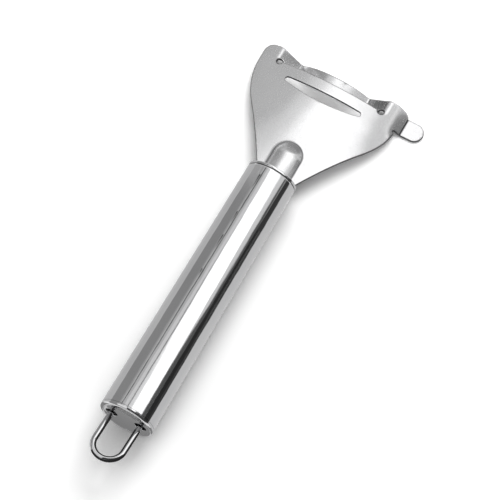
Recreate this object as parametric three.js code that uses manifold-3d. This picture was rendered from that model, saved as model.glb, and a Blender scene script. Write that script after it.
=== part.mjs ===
// Corn stripper: a stamped steel head with a dropped blade strip, on a round hollow handle
// whose rear cap carries a swinging wire loop. Millimetres, +X from handle to head, +Z up.
// While it is modelled, x = 0 is the handle's mouth and z = 0 the handle's axis; the finished
// group is then set with the middle of its underside at the origin.
import * as THREE from 'three';
import { mergeVertices } from 'three/addons/utils/BufferGeometryUtils.js';
import Module from 'manifold-3d';

// Handle tube and rear cap
const handleLength = 105.2;
const mouthRadius = 9.5;
const rearRadius = 10.5;
const tubeWall = 0.7;
const mouthEdge = 0.25;
const capRim = 1.6;
const capPlate = 0.8;
const capRecess = 0.15;
const capRimWidth = 1.7;
const capWall = 0.7;
const capSkirt = 5;
const pressGap = 0.1;
const looseGap = 0.3;

// Hanging loop, its holes in the cap and the keeper disc behind its feet
const wireRadius = 1.15;
const loopReach = 19.6;
const loopRise = 8;
const loopPlay = 1.2;
const footLength = 2.3;
const footInside = 0.05;
const footEndGap = 0.83;
const footGap = 0.15;
const keeperThickness = 0.8;

// Mouth plug and the pins that lock the head's tang in it
const plugRecess = 1.2;
const plugLength = 20.5;
const plugWall = 0.76;
const pinRadius = 1.5;
const pinSpacing = 8;
const pinInset = 0.9;
const pinGap = 0.15;

// Head blank, seen from above: its neck and flare, measured from the mouth
const sheet = 1;
const tangShort = 0.7;
const tangMargin = 0.35;
const neckMargin = 0.95;
const neckRun = 1.5;
const flareLength = 24;
const flareInset = 6.5;
const flareBendAt = 12.4;
const flareBendRise = 6.8;
const shoulderRun = 8.6;
const shoulderEase = 0.25;

// Head blank: its ears, blade strip and slot, measured from the front edge and the middle
const headLength = 48.9;
const headHalf = 28.5;
const earLength = 7.9;
const earWidth = 6.1;
const earCorner = 3.4;
const frontHollow = 1.8;
const bladeWidth = 5.6;
const slitWidth = 0.5;
const stopHoleRadius = 1.2;
const stopHoleInset = 1.75;
const slotLand = 4.7;
const slotWidth = 3.9;
const slotHalf = 15.45;
const slotTip = 0.95;

// Head forming: heights of the upper face from the handle's axis, and where the bends lie
const neckLevel = -3.8;
const crownLevel = -1.5;
const ridgeLevel = -5;
const beadHeight = 3;
const beadEnd = 16.6;
const ridgeRound = 1;
const facetRun = 8.75;
const dipRound = 1.4;
const bladeRise = 5.75;

// Tongue on the right ear, and the roll that leads down to it
const tongueLength = 7.9;
const tongueWidth = 7;
const tongueSetback = 1.8;
const tongueLift = 0.05;
const tongueRound = 0.7;
const rollInset = 3.5;
const rollOutset = 1.5;
const rollDrop = 1.6;
const reliefRadius = 0.6;
const reliefInset = 0.2;

// Fineness of round forms and of the formed sheet's grid
const roundSteps = 48;
const pinSteps = 24;
const rimSteps = 4;
const curveSteps = 10;
const wireSides = 10;
const wireSteps = 60;
const coarseStep = 2.1;
const fineStep = 0.8;
const gridMargin = 0.7;
const slitShare = 0.96;
const slopeStep = 0.02;
const mergeWithin = 1e-4;

// Sizes that follow from the ones above
const tableLevel = -Math.max(mouthRadius, rearRadius);
const rearFace = -(handleLength + capRim);
const capFace = rearFace + capRecess;
const pivotX = capFace + capPlate + footGap + wireRadius;
const loopHoleRadius = wireRadius + loopPlay;
const skirtEnd = capSkirt - handleLength;
const skirtRadius = boreRadius(skirtEnd) - pressGap;
const cupRadius = skirtRadius - capWall;
const loopHalfSpan = Math.sqrt(cupRadius ** 2 - wireRadius ** 2) - footEndGap - footLength;
const footBend = wireRadius + footInside;
const slotFloor = neckLevel - sheet - looseGap;
const plugRadius = boreRadius(-plugRecess) - pressGap;
const tangLength = plugRecess + plugLength - tangShort;
const tangHalf = Math.sqrt(plugRadius ** 2 - slotFloor ** 2) - plugWall - looseGap;
const beadHalf = tangHalf - tangMargin;
const neckHalf = beadHalf + neckMargin;
const beadRadius = (beadHalf ** 2 + beadHeight ** 2) / (2 * beadHeight);
const flareHalf = headHalf - flareInset;
const flareBend = [flareBendAt, neckHalf + flareBendRise];
const shoulderAt = headLength - earLength;
const shoulderBend = [shoulderAt - shoulderRun, headHalf - shoulderEase];
const slitAt = headLength - bladeWidth;
const ridgeAt = headHalf - earWidth;
const dipAt = ridgeAt - facetRun;
const stopHoleAt = ridgeAt - stopHoleInset;
const slotFront = slitAt - slotLand;
const slotRear = slotFront - slotWidth;
const archFactor = (crownLevel - ridgeLevel) / ridgeAt ** 2;
const dipLevel = tableLevel + sheet - dipRound / 4;
const rollFrom = headHalf - rollInset;
const rollTo = headHalf + rollOutset;
const tongueReach = rollTo + tongueLength;
const tongueRear = headLength - tongueSetback - tongueWidth;
const tongueLevel = tableLevel + sheet + tongueLift;

const wasm = await Module();
wasm.setup();

// Solid helpers
function toSolid(geometry) {
  const bare = geometry.clone();
  bare.deleteAttribute('normal');
  bare.deleteAttribute('uv');
  const merged = mergeVertices(bare, mergeWithin);
  const corners = merged.index.array;
  const faces = [];
  for (let i = 0; i < corners.length; i += 3) {
    const [a, b, c] = corners.slice(i, i + 3);
    if (a !== b && b !== c && c !== a) faces.push(a, b, c);
  }
  return new wasm.Manifold(new wasm.Mesh({
    numProp: 3,
    vertProperties: new Float32Array(merged.attributes.position.array),
    triVerts: new Uint32Array(faces),
  }));
}

function toGeometry(solid) {
  const mesh = solid.getMesh();
  const geometry = new THREE.BufferGeometry();
  geometry.setAttribute('position', new THREE.BufferAttribute(mesh.vertProperties, 3));
  geometry.setIndex(new THREE.BufferAttribute(mesh.triVerts, 1));
  geometry.computeVertexNormals();
  return geometry;
}

function steel(color, roughness) {
  return new THREE.MeshStandardMaterial({ color, roughness, metalness: 1 });
}

const polishedSteel = steel(0xc9cacb, 0.15);
const satinSteel = steel(0xc2c3c4, 0.3);
const brightWire = steel(0xd4d5d6, 0.08);
const plugPlastic = new THREE.MeshStandardMaterial({ color: 0x8d9092, roughness: 0.6, metalness: 0 });

function piece(name, geometry, material) {
  const mesh = new THREE.Mesh(geometry, material);
  mesh.name = name;
  return mesh;
}

// A body turned about the X axis from a closed outline of [x, radius] points
function turned(outline) {
  const profile = outline.map(([x, radius]) => new THREE.Vector2(radius, x));
  if (THREE.ShapeUtils.isClockWise(profile)) profile.reverse();
  const geometry = new THREE.LatheGeometry([...profile, profile[0]], roundSteps);
  geometry.rotateZ(-Math.PI / 2);
  return geometry;
}

// A prism of a plan outline, tall enough to pass right through the object
function planPrism(outline) {
  const height = 4 * rearRadius;
  const options = { depth: height, bevelEnabled: false, curveSegments: curveSteps };
  const geometry = new THREE.ExtrudeGeometry(outline, options);
  geometry.translate(0, 0, -height / 2);
  return geometry;
}

// Smooth step from 0 at a to 1 at b, and rounded versions of min and max
function ease(value, a, b) {
  return THREE.MathUtils.smoothstep(value, a, b);
}

function roundMin(a, b, round) {
  const share = Math.max(round - Math.abs(a - b), 0) / round;
  return Math.min(a, b) - share * share * round / 4;
}

function roundMax(a, b, round) {
  return -roundMin(-a, -b, round);
}

// Head: height of its upper face at a place in plan, before the blade strip is dropped
function bead(x, y) {
  const away = Math.hypot(Math.max(0, x - (beadEnd - beadHalf)), y);
  return away < beadHalf ? Math.sqrt(beadRadius ** 2 - away ** 2) - (beadRadius - beadHeight) : 0;
}

function plateLevel(x, y) {
  const crown = THREE.MathUtils.lerp(neckLevel, crownLevel, ease(x, beadHalf, slotFront));
  const arched = crown - archFactor * ease(x, 0, slotRear) * y ** 2 + bead(x, y);
  const past = Math.max(0, -y - rollFrom) / (rollTo - rollFrom);
  const rolled = arched - rollDrop * ease(x, slotRear, tongueRear) * past ** 2;
  return -y > rollFrom ? roundMax(rolled, tongueLevel, tongueRound) : rolled;
}

// Height of the blade strip: an arch between two dips, and a facet from each dip to its ridge
function bladeLevel(x, y) {
  const across = Math.abs(y);
  const top = dipLevel + bladeRise;
  const radius = (dipAt ** 2 + bladeRise ** 2) / (2 * bladeRise);
  const arch = top - radius + Math.sqrt(Math.max(radius ** 2 - across ** 2, 0));
  const facet = dipLevel + (ridgeLevel - dipLevel) * (across - dipAt) / (ridgeAt - dipAt);
  return roundMin(roundMax(arch, facet, dipRound), plateLevel(x, y), ridgeRound);
}

function headLevel(x, y) {
  const across = Math.abs(y);
  const land = ease(across, stopHoleAt - stopHoleRadius, stopHoleAt + stopHoleRadius / 2);
  const cut = x > slitAt ? 1 : 0;
  const slope = ease(x, slitAt - stopHoleRadius, slitAt + stopHoleRadius);
  const dropped = THREE.MathUtils.lerp(cut, slope, land);
  return THREE.MathUtils.lerp(plateLevel(x, y), bladeLevel(x, y), dropped);
}

// Thickness measured straight up, so that the sheet keeps its gauge on a slope
function upright(x, y) {
  const step = slopeStep;
  const ahead = x > slitAt ? step : -step;
  const slopeX = (headLevel(x + ahead, y) - headLevel(x, y)) / step;
  const slopeY = (headLevel(x, y + step) - headLevel(x, y - step)) / (2 * step);
  return sheet * Math.hypot(1, slopeX, slopeY);
}

// Values from a up to, but without, b in steps of about the given size
function stations(a, b, size) {
  const count = Math.max(1, Math.round((b - a) / size));
  return Array.from({ length: count }, (_, i) => a + (b - a) * i / count);
}

// The formed sheet over a rectangle of plan, as a closed slab on a grid of rows and columns
function formedSlab(rows, columns) {
  const positions = [];
  const faces = [];
  const wide = columns.length;
  const layer = rows.length * wide;
  for (const under of [0, 1]) {
    for (const x of rows) {
      for (const y of columns) positions.push(x, y, headLevel(x, y) - under * upright(x, y));
    }
  }
  const quad = (a, b, c, d) => faces.push(a, b, c, a, c, d);
  for (let i = 0; i + 1 < rows.length; i++) {
    for (let j = 0; j + 1 < wide; j++) {
      const a = i * wide + j;
      quad(a, a + wide, a + wide + 1, a + 1);
      quad(layer + a, layer + a + 1, layer + a + wide + 1, layer + a + wide);
    }
  }
  const last = layer - wide;
  for (let j = 0; j + 1 < wide; j++) {
    quad(j, j + 1, layer + j + 1, layer + j);
    quad(last + j + 1, last + j, layer + last + j, layer + last + j + 1);
  }
  for (let i = 0; i + 1 < rows.length; i++) {
    const a = i * wide;
    const b = a + wide - 1;
    quad(a + wide, a, layer + a, layer + a + wide);
    quad(b, b + wide, layer + b + wide, layer + b);
  }
  const geometry = new THREE.BufferGeometry();
  geometry.setAttribute('position', new THREE.Float32BufferAttribute(positions, 3));
  geometry.setIndex(faces);
  return geometry;
}

// Plan outline of the head: tang, neck, flare, ears, hollow front edge and the right tongue
function headOutline() {
  const outline = new THREE.Shape();
  const tongueFront = tongueRear + tongueWidth;
  const tongueMiddle = tongueRear + tongueWidth / 2;
  const tongueStraight = -(tongueReach - tongueWidth / 2);
  const rightEdge = headHalf - reliefInset;
  outline.moveTo(-tangLength, -tangHalf);
  outline.lineTo(-neckRun, -tangHalf);
  outline.lineTo(0, -neckHalf);
  outline.quadraticCurveTo(flareBend[0], -flareBend[1], flareLength, -flareHalf);
  outline.quadraticCurveTo(shoulderBend[0], -shoulderBend[1], tongueRear - 2 * reliefRadius, -rightEdge);
  outline.absarc(tongueRear - reliefRadius, -rightEdge, reliefRadius, Math.PI, 0, true);
  outline.lineTo(tongueRear, tongueStraight);
  outline.absarc(tongueMiddle, tongueStraight, tongueWidth / 2, Math.PI, 0, false);
  outline.lineTo(tongueFront, -rollTo);
  outline.quadraticCurveTo(headLength, -rollTo, headLength, -rollFrom);
  outline.lineTo(headLength, -ridgeAt);
  outline.quadraticCurveTo(headLength - 2 * frontHollow, 0, headLength, ridgeAt);
  outline.lineTo(headLength, headHalf - earCorner);
  outline.absarc(headLength - earCorner, headHalf - earCorner, earCorner, 0, Math.PI / 2, false);
  outline.lineTo(shoulderAt, headHalf);
  outline.quadraticCurveTo(shoulderBend[0], shoulderBend[1], flareLength, flareHalf);
  outline.quadraticCurveTo(flareBend[0], flareBend[1], 0, neckHalf);
  outline.lineTo(-neckRun, tangHalf);
  outline.lineTo(-tangLength, tangHalf);
  const pinHoles = pinPlaces().map((x) => circle(x, 0, pinRadius + pinGap));
  outline.holes.push(slotOutline(), slitOutline(), ...pinHoles);
  return outline;
}

function circle(x, y, radius) {
  return new THREE.Path().absarc(x, y, radius, 0, 2 * Math.PI, false);
}

// Slot behind the blade: straight in front, bowed at the rear, with round tips
function slotOutline() {
  const tipAt = slotHalf - slotTip;
  const tipMiddle = slotFront - slotTip;
  const bow = 2 * slotRear - (slotFront - 2 * slotTip);
  const slot = new THREE.Path();
  slot.moveTo(slotFront, -tipAt);
  slot.lineTo(slotFront, tipAt);
  slot.absarc(tipMiddle, tipAt, slotTip, 0, Math.PI, false);
  slot.quadraticCurveTo(bow, 0, slotFront - 2 * slotTip, -tipAt);
  slot.absarc(tipMiddle, -tipAt, slotTip, Math.PI, 2 * Math.PI, false);
  return slot;
}

// Slit that frees the blade strip, with a round stop hole at each end
function slitOutline() {
  const half = slitWidth / 2;
  const lip = Math.asin(half / stopHoleRadius);
  const slit = new THREE.Path();
  slit.absarc(slitAt, stopHoleAt, stopHoleRadius, -Math.PI / 2 + lip, 3 * Math.PI / 2 - lip, false);
  slit.absarc(slitAt, -stopHoleAt, stopHoleRadius, Math.PI / 2 + lip, 5 * Math.PI / 2 - lip, false);
  return slit;
}

function headPlate() {
  const half = slitWidth * slitShare / 2;
  const domeFrom = beadEnd - beadHalf;
  const rows = [
    ...stations(-tangLength - gridMargin, 0, 3 * coarseStep),
    ...stations(0, domeFrom, coarseStep),
    ...stations(domeFrom, beadEnd + gridMargin, fineStep),
    ...stations(beadEnd + gridMargin, slitAt - stopHoleRadius, coarseStep),
    ...stations(slitAt - stopHoleRadius, slitAt - half, fineStep), slitAt - half,
    ...stations(slitAt + half, slitAt + stopHoleRadius, fineStep),
    ...stations(slitAt + stopHoleRadius, headLength, coarseStep), headLength + gridMargin,
  ];
  const side = [
    ...stations(0, beadHalf - gridMargin, coarseStep / 2),
    ...stations(beadHalf - gridMargin, beadHalf + gridMargin, fineStep / 2),
    ...stations(beadHalf + gridMargin, dipAt - dipRound, coarseStep),
    ...stations(dipAt - dipRound, dipAt + dipRound, fineStep),
    ...stations(dipAt + dipRound, stopHoleAt, coarseStep),
    ...stations(stopHoleAt, ridgeAt + ridgeRound, fineStep),
    ...stations(ridgeAt + ridgeRound, rollFrom, coarseStep),
  ];
  const flatFrom = rollTo + tongueRound;
  const right = [...stations(rollFrom, flatFrom, fineStep), flatFrom, tongueReach + gridMargin];
  const left = [...stations(rollFrom, headHalf + gridMargin, coarseStep), headHalf + gridMargin];
  const columns = [
    ...[...side, ...right].reverse().map((y) => -y),
    ...[...side, ...left].slice(1),
  ];
  const blank = toSolid(planPrism(headOutline()));
  return toGeometry(toSolid(formedSlab(rows, columns)).intersect(blank));
}

// Handle: tapered tube, open at both ends
function boreRadius(x) {
  return mouthRadius + (rearRadius - mouthRadius) * -x / handleLength - tubeWall;
}

function handleTube() {
  const edge = mouthEdge;
  return turned([
    [-handleLength, rearRadius], [-handleLength, rearRadius - tubeWall],
    [0, mouthRadius - tubeWall], [0, mouthRadius - edge], [-edge, mouthRadius],
  ]);
}

// Plug in the mouth, with a slot that follows the tang over and under its bead, and two pin bores
function pinPlaces() {
  const middle = -(plugRecess + plugLength / 2);
  return [middle + pinSpacing / 2, middle - pinSpacing / 2];
}

function tangSlot() {
  const radius = beadRadius + looseGap;
  const centre = neckLevel + beadHeight + looseGap - radius;
  const shoulder = neckLevel + looseGap;
  const half = tangHalf + looseGap;
  const spread = Math.acos((shoulder - centre) / radius);
  const coreRadius = beadRadius - sheet - looseGap;
  const coreSpread = Math.acos((slotFloor - centre) / coreRadius);
  const section = new THREE.Shape();
  section.moveTo(-half, shoulder);
  section.lineTo(-half, slotFloor);
  section.absarc(0, centre, coreRadius, Math.PI / 2 + coreSpread, Math.PI / 2 - coreSpread, true);
  section.lineTo(half, slotFloor);
  section.lineTo(half, shoulder);
  section.absarc(0, centre, radius, Math.PI / 2 - spread, Math.PI / 2 + spread, false);
  const length = 2 * tangLength;
  const options = { depth: length, bevelEnabled: false, curveSegments: curveSteps };
  const geometry = new THREE.ExtrudeGeometry(section, options);
  geometry.translate(0, 0, -length);
  geometry.rotateX(Math.PI / 2);
  geometry.rotateZ(Math.PI / 2);
  return geometry;
}

function pinSpan() {
  return mouthRadius - tubeWall - pinInset;
}

function pin(radius, halfHeight) {
  const geometry = new THREE.CylinderGeometry(radius, radius, 2 * halfHeight, pinSteps);
  geometry.rotateX(Math.PI / 2);
  return geometry;
}

function mouthPlug() {
  const front = -plugRecess;
  const rear = front - plugLength;
  const rearEdge = [rear, boreRadius(rear) - pressGap];
  const frontEdge = [front, plugRadius];
  let solid = toSolid(turned([[rear, 0], rearEdge, frontEdge, [front, 0]]));
  solid = solid.subtract(toSolid(tangSlot()));
  for (const x of pinPlaces()) {
    solid = solid.subtract(toSolid(pin(pinRadius + pinGap, 2 * rearRadius).translate(x, 0, 0)));
  }
  return toGeometry(solid);
}

// Rear cap: a cup whose rounded rim covers the tube's end, with two holes for the loop's legs
function endCap() {
  const seat = -handleLength - pressGap;
  const round = capRim / 2;
  const rim = stations(0, 1, 1 / rimSteps).concat(1).map((share) => {
    const turn = Math.PI / 2 * share;
    return [rearFace + round - round * Math.sin(turn), rearRadius - round + round * Math.cos(turn)];
  });
  const face = rearRadius - capRimWidth;
  const outline = [
    [capFace + capPlate, 0], [capFace + capPlate, cupRadius], [skirtEnd, cupRadius],
    [skirtEnd, skirtRadius], [seat, skirtRadius], [seat, rearRadius],
    ...rim, [rearFace, face + capRecess], [capFace, face], [capFace, 0],
  ];
  let solid = toSolid(turned(outline));
  for (const side of [-1, 1]) {
    const hole = new THREE.CylinderGeometry(loopHoleRadius, loopHoleRadius, 4 * capRim, pinSteps);
    hole.rotateZ(Math.PI / 2);
    hole.translate(capFace, side * loopHalfSpan, 0);
    solid = solid.subtract(toSolid(hole));
  }
  return toGeometry(solid);
}

// Disc pressed into the cup behind the loop's feet
function loopKeeper() {
  const near = pivotX + wireRadius + footGap;
  const far = near + keeperThickness;
  const radius = cupRadius - pressGap;
  return turned([[near, 0], [far, 0], [far, radius], [near, radius]]);
}

// Loop: one wire from foot to foot, drawn with its feet on the pivot axis and its bow towards -X
class LoopWire extends THREE.Curve {
  constructor() {
    super();
    this.bowX = -(loopReach - loopHalfSpan);
    this.bow = loopHalfSpan * Math.PI / 2;
    this.leg = -this.bowX - footBend;
    this.bend = footBend * Math.PI / 2;
    this.foot = footLength - footBend;
    this.half = this.bow + this.leg + this.bend + this.foot;
  }

  getPoint(t, target = new THREE.Vector3()) {
    const side = t < 0.5 ? -1 : 1;
    let along = Math.abs(2 * t - 1) * this.half;
    if (along < this.bow) {
      const turn = along / loopHalfSpan;
      return target.set(this.bowX - loopHalfSpan * Math.cos(turn), side * loopHalfSpan * Math.sin(turn), 0);
    }
    along -= this.bow;
    if (along < this.leg) return target.set(this.bowX + along, side * loopHalfSpan, 0);
    along -= this.leg;
    if (along < this.bend) {
      const turn = along / footBend;
      const out = loopHalfSpan + footBend * (1 - Math.cos(turn));
      return target.set(-footBend * (1 - Math.sin(turn)), side * out, 0);
    }
    along -= this.bend;
    return target.set(0, side * (loopHalfSpan + footBend + along), 0);
  }
}

function hangingLoop() {
  const section = new THREE.Shape();
  for (let i = 0; i < wireSides; i++) {
    const turn = 2 * Math.PI * i / wireSides;
    const place = [wireRadius * Math.cos(turn), wireRadius * Math.sin(turn)];
    if (i === 0) section.moveTo(...place);
    else section.lineTo(...place);
  }
  const options = { steps: wireSteps, extrudePath: new LoopWire(), bevelEnabled: false };
  return new THREE.ExtrudeGeometry(section, options);
}

// Assembly: the loop stands out behind the cap, a little above level
const group = new THREE.Group();
group.add(piece('handle_tube', handleTube(), polishedSteel));
group.add(piece('head_plate', headPlate(), satinSteel));
group.add(piece('mouth_plug', mouthPlug(), plugPlastic));
pinPlaces().forEach((x, i) => {
  const tangPin = piece(`tang_pin_${i + 1}`, pin(pinRadius, pinSpan()), satinSteel);
  tangPin.position.x = x;
  group.add(tangPin);
});
group.add(piece('end_cap', endCap(), polishedSteel));
group.add(piece('loop_keeper', loopKeeper(), satinSteel));

const hung = new THREE.Group();
hung.position.x = pivotX;
hung.rotation.y = THREE.MathUtils.degToRad(loopRise);
hung.add(piece('hanging_loop', hangingLoop(), brightWire));
group.add(hung);

const box = new THREE.Box3().setFromObject(group, true);
const middle = box.getCenter(new THREE.Vector3());
group.position.set(-middle.x, -middle.y, -box.min.z);
group.updateMatrixWorld(true);

export default group;
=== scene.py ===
"""Looks of a corn stripper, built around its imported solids.

Lengths are in millimetres in the tool's own frame: x = 0 at the handle's mouth and growing towards the
head, y to the left, z = 0 on the handle's axis. place() turns them into metres in the shared frame.
Angles are in degrees.
"""
import math

import bmesh
import bpy
import numpy as np
from mathutils import Matrix, Vector
from mathutils.geometry import delaunay_2d_cdt

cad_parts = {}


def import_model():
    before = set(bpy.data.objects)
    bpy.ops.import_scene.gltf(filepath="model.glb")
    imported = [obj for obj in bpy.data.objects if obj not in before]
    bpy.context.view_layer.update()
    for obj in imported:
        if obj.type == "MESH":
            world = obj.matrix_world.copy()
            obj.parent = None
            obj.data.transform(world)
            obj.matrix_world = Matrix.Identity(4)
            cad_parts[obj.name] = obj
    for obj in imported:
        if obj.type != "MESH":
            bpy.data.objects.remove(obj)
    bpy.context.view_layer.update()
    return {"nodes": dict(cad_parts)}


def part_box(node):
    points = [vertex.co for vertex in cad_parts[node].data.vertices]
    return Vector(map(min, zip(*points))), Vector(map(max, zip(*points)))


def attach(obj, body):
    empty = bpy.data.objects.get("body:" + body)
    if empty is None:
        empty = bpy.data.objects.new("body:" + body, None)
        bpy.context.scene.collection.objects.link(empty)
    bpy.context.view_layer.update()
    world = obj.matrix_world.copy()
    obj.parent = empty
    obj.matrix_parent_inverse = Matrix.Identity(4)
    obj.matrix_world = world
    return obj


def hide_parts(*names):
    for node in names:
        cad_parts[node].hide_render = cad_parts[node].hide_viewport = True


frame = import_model()

MM = 0.001

# Handle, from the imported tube
tube_low, tube_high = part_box("handle_tube")
HANDLE_LENGTH = (tube_high.x - tube_low.x) / MM
REAR_RADIUS = (tube_high.y - tube_low.y) / 2 / MM
ORIGIN = Vector((tube_high.x, (tube_low.y + tube_high.y) / 2, (tube_low.z + tube_high.z) / 2))
MOUTH_RADIUS = 9.5
TUBE_WALL = 0.7
MOUTH_LIP = 0.1
SEAM_AT = 1.1
SEAM_HALF = 0.3
SEAM_DEPTH = 0.2

# Rear cap
CAP_RIM = 1.6
CAP_PLATE = 0.8
CAP_RECESS = 0.15
CAP_RIM_WIDTH = 1.7
CAP_WALL = 0.7
CAP_SKIRT = 5
PRESS_GAP = 0.1

# Hanging loop
WIRE_RADIUS = 1.15
LOOP_REACH = 19.6
LOOP_RISE = 8
LOOP_PLAY = 1.2
FOOT_LENGTH = 2.3
FOOT_GAP = 0.15
FOOT_END_GAP = 0.83
FOOT_INSIDE = 0.05

# Head blank in plan
SHEET = 1
TANG_LENGTH = 21
TANG_HALF = 6
NECK_HALF = 6.6
NECK_RUN = 1.5
FLARE = (24, 22)
FLARE_BEND = (12.4, 13.4)
SHOULDER_BEND = (32.4, 28.25)
SHOULDER_AT = 41
HEAD_LENGTH = 48.9
HEAD_HALF = 28.5
EAR_CORNER = 3.4
FRONT_HOLLOW = 1.8
SLIT_AT = 43.3
SLIT_WIDTH = 0.5
STOP_HOLE_RADIUS = 1.2
STOP_HOLE_AT = 20.65
SLOT_FRONT = 38.6
SLOT_REAR = 34.7
SLOT_HALF = 15.45
SLOT_TIP = 0.95
PIN_HOLE_RADIUS = 1.65
PIN_PLACES = (-7.45, -15.45)

# Head forming
NECK_LEVEL = -3.8
CROWN_LEVEL = -1.5
RIDGE_LEVEL = -5
BEAD_HALF = 5.65
BEAD_HEIGHT = 3
BEAD_END = 16.6
BEAD_FILLET = 0.5
BEAD_CONE = 1.4
RIDGE_AT = 22.4
RIDGE_ROUND = 1
DIP_AT = 13.65
DIP_ROUND = 1.4
BLADE_RISE = 5.75

# Tongue and the roll that leads to it
ROLL_FROM = 25
ROLL_TO = 30
ROLL_DROP = 1.6
TONGUE_REACH = 37.9
TONGUE_WIDTH = 7
TONGUE_REAR = 40.1
TONGUE_LIFT = 0.05
TONGUE_ROUND = 0.7
RELIEF_RADIUS = 0.6
RELIEF_INSET = 0.2

# Fineness of the meshes
OUTLINE_STEP = 0.4
GRID_STEP = 0.45
EDGE_ROUND = 0.16
EDGE_RINGS = (0, 0.3, 1)
RELIEF_STEPS = 8
TONGUE_STEPS = 32
CORNER_STEPS = 16
TIP_STEPS = 10
STOP_HOLE_STEPS = 20
PIN_HOLE_STEPS = 24
TURNED_STEPS = 160
TUBE_RINGS = 40
SEAM_RINGS = 9
MOUTH_STEPS = 6
RIM_STEPS = 12
LIP_STEPS = 5
HOLE_STEPS = 64
WIRE_SIDES = 28
FOOT_RINGS = 13
LEG_RINGS = 40
BOW_RINGS = 97
SHARP_ANGLE = 35
SLOPE_STEP = 0.02
MERGE_GAP = 0.001
SHORTEST_EDGE = 1e-6
PLAN_TOLERANCE = 1e-7
TINY = 1e-9

# Painted shade on the metal: dark colour painted in the seam groove before the mouth, on the cut edges
# (an attribute of the head's mesh; these are also rougher), round the rims of the stop holes, in the crease
# before the tongue and round the bead's foot. A reach says how far from the mark's middle, or from the edge
# of the hole, it is full, and where it ends.
SEAM_REACH = (0.1, 0.3)
SHEARED_AND_SHADED = "cut_edge_shade"
# Painted shade round the stop holes
HOLE_SHADE_REACH = (0.25, 0.6)
# Painted shade along the crease before the tongue
CREASE_AT = -30.15
CREASE_REACH = (0.15, 0.5)
# Painted shade round the bead's foot
BEAD_LINE_AT = 5.45
BEAD_LINE_REACH = (0.1, 0.4)
BEAD_LINE_SHARE = 0.55

# Sizes that follow
TABLE_LEVEL = -REAR_RADIUS
DIP_LEVEL = TABLE_LEVEL + SHEET - DIP_ROUND / 4
TONGUE_LEVEL = TABLE_LEVEL + SHEET + TONGUE_LIFT
ARCH_FACTOR = (CROWN_LEVEL - RIDGE_LEVEL) / RIDGE_AT ** 2
BEAD_RADIUS = (BEAD_HALF ** 2 + BEAD_HEIGHT ** 2) / (2 * BEAD_HEIGHT)
BLADE_RADIUS = (DIP_AT ** 2 + BLADE_RISE ** 2) / (2 * BLADE_RISE)
MOUTH_CHAMFER = TUBE_WALL / 4
HOLE_LIP = CAP_PLATE / 4
REAR_FACE = -(HANDLE_LENGTH + CAP_RIM)
CAP_FACE = REAR_FACE + CAP_RECESS
PIVOT_X = CAP_FACE + CAP_PLATE + FOOT_GAP + WIRE_RADIUS


def outer_radius(x):
    return MOUTH_RADIUS + (REAR_RADIUS - MOUTH_RADIUS) * -x / HANDLE_LENGTH


def bore_radius(x):
    return outer_radius(x) - TUBE_WALL


SKIRT_END = CAP_SKIRT - HANDLE_LENGTH
SKIRT_RADIUS = bore_radius(SKIRT_END) - PRESS_GAP
CUP_RADIUS = SKIRT_RADIUS - CAP_WALL
LOOP_HALF_SPAN = math.sqrt(CUP_RADIUS ** 2 - WIRE_RADIUS ** 2) - FOOT_END_GAP - FOOT_LENGTH
FOOT_BEND = WIRE_RADIUS + FOOT_INSIDE
LOOP_HOLE_RADIUS = WIRE_RADIUS + LOOP_PLAY

# Camera: the angle of the photograph, and where the mouth's centre lies in its 500 pixel frame. The end of
# the clipping is in metres.
IMAGE_SIZE = 500
CAMERA_ELEVATION = 66.878
CAMERA_TURN = 61.056
CAMERA_DISTANCE = 1735
MOUTH_PIXEL = (272.664, 176.353)
PIXELS_PER_MM = 2.794
SENSOR = 36
CLIP_END = 100


def place(points):
    """Points of the tool's frame, in millimetres, as metres in the shared frame."""
    return np.asarray(points, float) * MM + np.array(ORIGIN)


# Mesh helpers

def smooth(mesh):
    mesh.polygons.foreach_set("use_smooth", [True] * len(mesh.polygons))
    mesh.update()


def new_object(name, verts, faces):
    """A smooth mesh object from points in the tool's frame."""
    mesh = bpy.data.meshes.new(name)
    mesh.from_pydata(place(verts).tolist(), [], faces)
    smooth(mesh)
    obj = bpy.data.objects.new(name, mesh)
    bpy.context.scene.collection.objects.link(obj)
    return obj


def dress(obj, material, body, node):
    """Gives a finished piece its material and its body, and hides the imported node that it stands for."""
    obj.data.materials.clear()
    obj.data.materials.append(material)
    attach(obj, body)
    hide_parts(node)


def turned(outline, steps=TURNED_STEPS, axis_y=0):
    """Points and faces of a body turned about a line along X, from a closed outline of (x, radius)."""
    outline = np.asarray(outline, float)
    turn = np.linspace(0, 2 * math.pi, steps, endpoint=False)
    count = len(outline)
    verts = np.empty((steps, count, 3))
    verts[:, :, 0] = outline[:, 0]
    verts[:, :, 1] = axis_y + np.cos(turn)[:, None] * outline[:, 1]
    verts[:, :, 2] = np.sin(turn)[:, None] * outline[:, 1]
    faces = []
    for i in range(steps):
        a, b = i * count, (i + 1) % steps * count
        for j in range(count):
            k = (j + 1) % count
            faces.append((a + j, a + k, b + k, b + j))
    return verts.reshape(-1, 3), faces


def weld(obj):
    """Merges doubled points, drops empty faces and turns all faces outward."""
    shape = bmesh.new()
    shape.from_mesh(obj.data)
    bmesh.ops.remove_doubles(shape, verts=shape.verts, dist=MERGE_GAP * MM)
    bmesh.ops.dissolve_degenerate(shape, edges=shape.edges, dist=MERGE_GAP * MM)
    bmesh.ops.recalc_face_normals(shape, faces=shape.faces)
    shape.to_mesh(obj.data)
    shape.free()
    smooth(obj.data)


def arc(centre, radius, start, end, steps):
    """Points of an arc in plan or in a profile, both ends included."""
    turn = np.linspace(start, end, steps + 1)
    return [(centre[0] + radius * math.cos(t), centre[1] + radius * math.sin(t)) for t in turn]


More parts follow.
